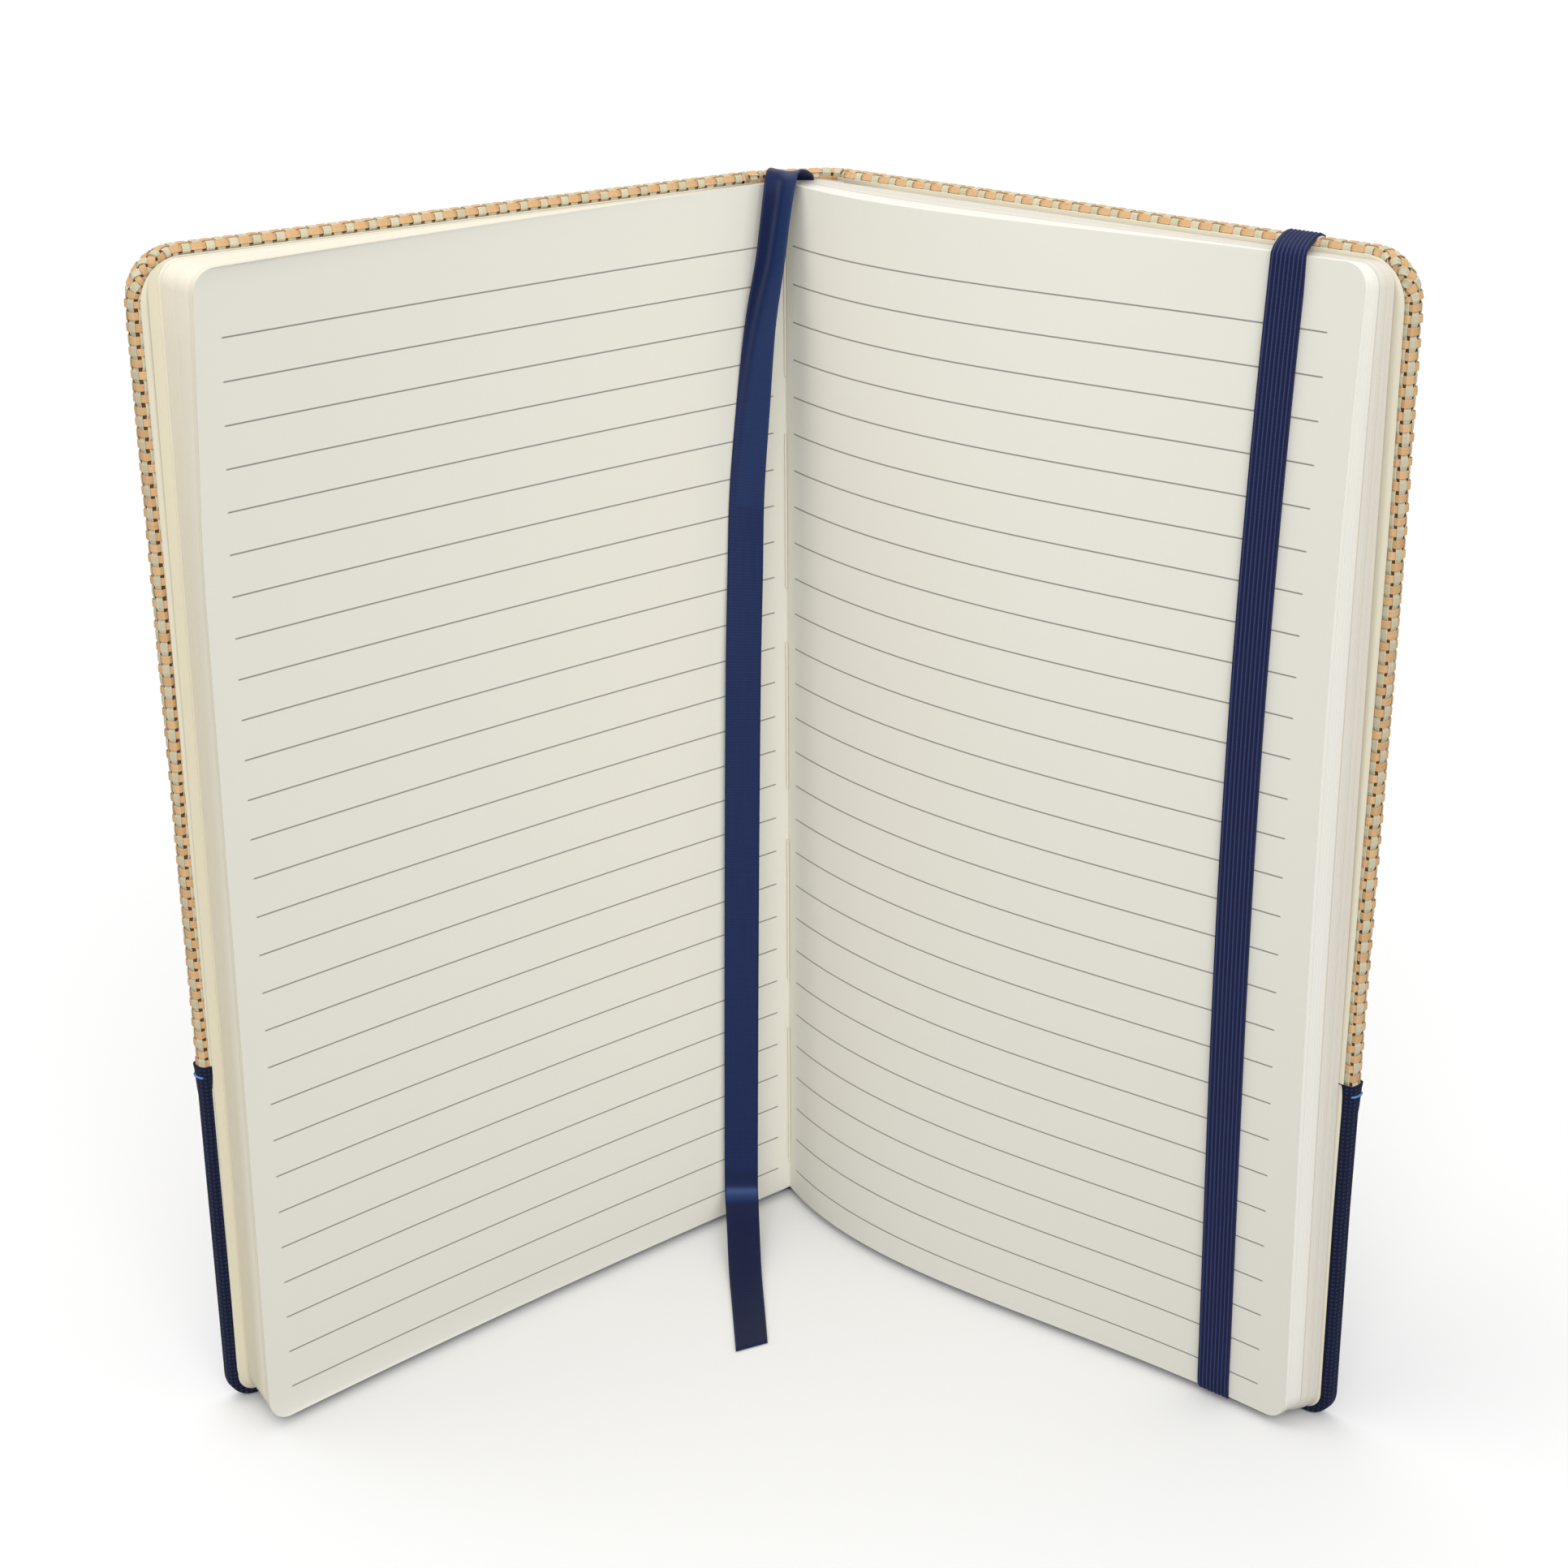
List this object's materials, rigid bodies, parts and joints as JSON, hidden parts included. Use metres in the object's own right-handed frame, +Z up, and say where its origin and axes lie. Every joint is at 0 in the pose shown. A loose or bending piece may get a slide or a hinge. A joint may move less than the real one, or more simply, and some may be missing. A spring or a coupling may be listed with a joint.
{
  "type": "hardcover notebook",
  "caption": "Open hardcover notebook standing on its foot, with woven straw covers over a canvas band, ruled leaves, an elastic closure and a ribbon bookmark.",
  "frame": {"origin": "on the floor, at the foot of the spine, midway across its width and thickness", "axes": "+Z up along the spine, -Y the way the open pages face, -X the front cover's side"},
  "size_m": [0.203, 0.0957, 0.2115],
  "materials": {
    "greyboard": "matt grey bookbinding board",
    "straw": "plain weave of flat paper straw",
    "canvas": "dyed cotton canvas",
    "stitching": "twisted cotton thread",
    "endpaper": "smooth uncoated endpaper",
    "leaves": "ruled ivory writing paper",
    "thread": "linen sewing thread",
    "elastic": "ribbed woven elastic",
    "ribbon": "woven satin ribbon"
  },
  "bodies": {
    "back_cover_and_leaves": {"back_board": "greyboard", "spine_card": "greyboard", "back_straw_cloth": "straw", "back_canvas_band": "canvas", "back_band_stitches": "stitching", "back_endpaper": "endpaper", "front_flyleaf": "endpaper", "spine_lining": "endpaper", "page_block": "leaves", "sewing_thread": "thread", "elastic_closure": "elastic", "ribbon_bookmark": "ribbon"},
    "front_cover": {"front_board": "greyboard", "front_straw_cloth": "straw", "front_canvas_band": "canvas", "front_band_stitches": "stitching", "front_endpaper": "endpaper"}
  },
  "joints": [
    {"name": "front_cover_hinge", "type": "hinge", "parent": "back_cover_and_leaves", "child": "front_cover", "pos_m": [-0.00779, -0.00082, 0.1048], "axis": [0, 0, -1], "range_deg": [0, 83]}
  ]
}
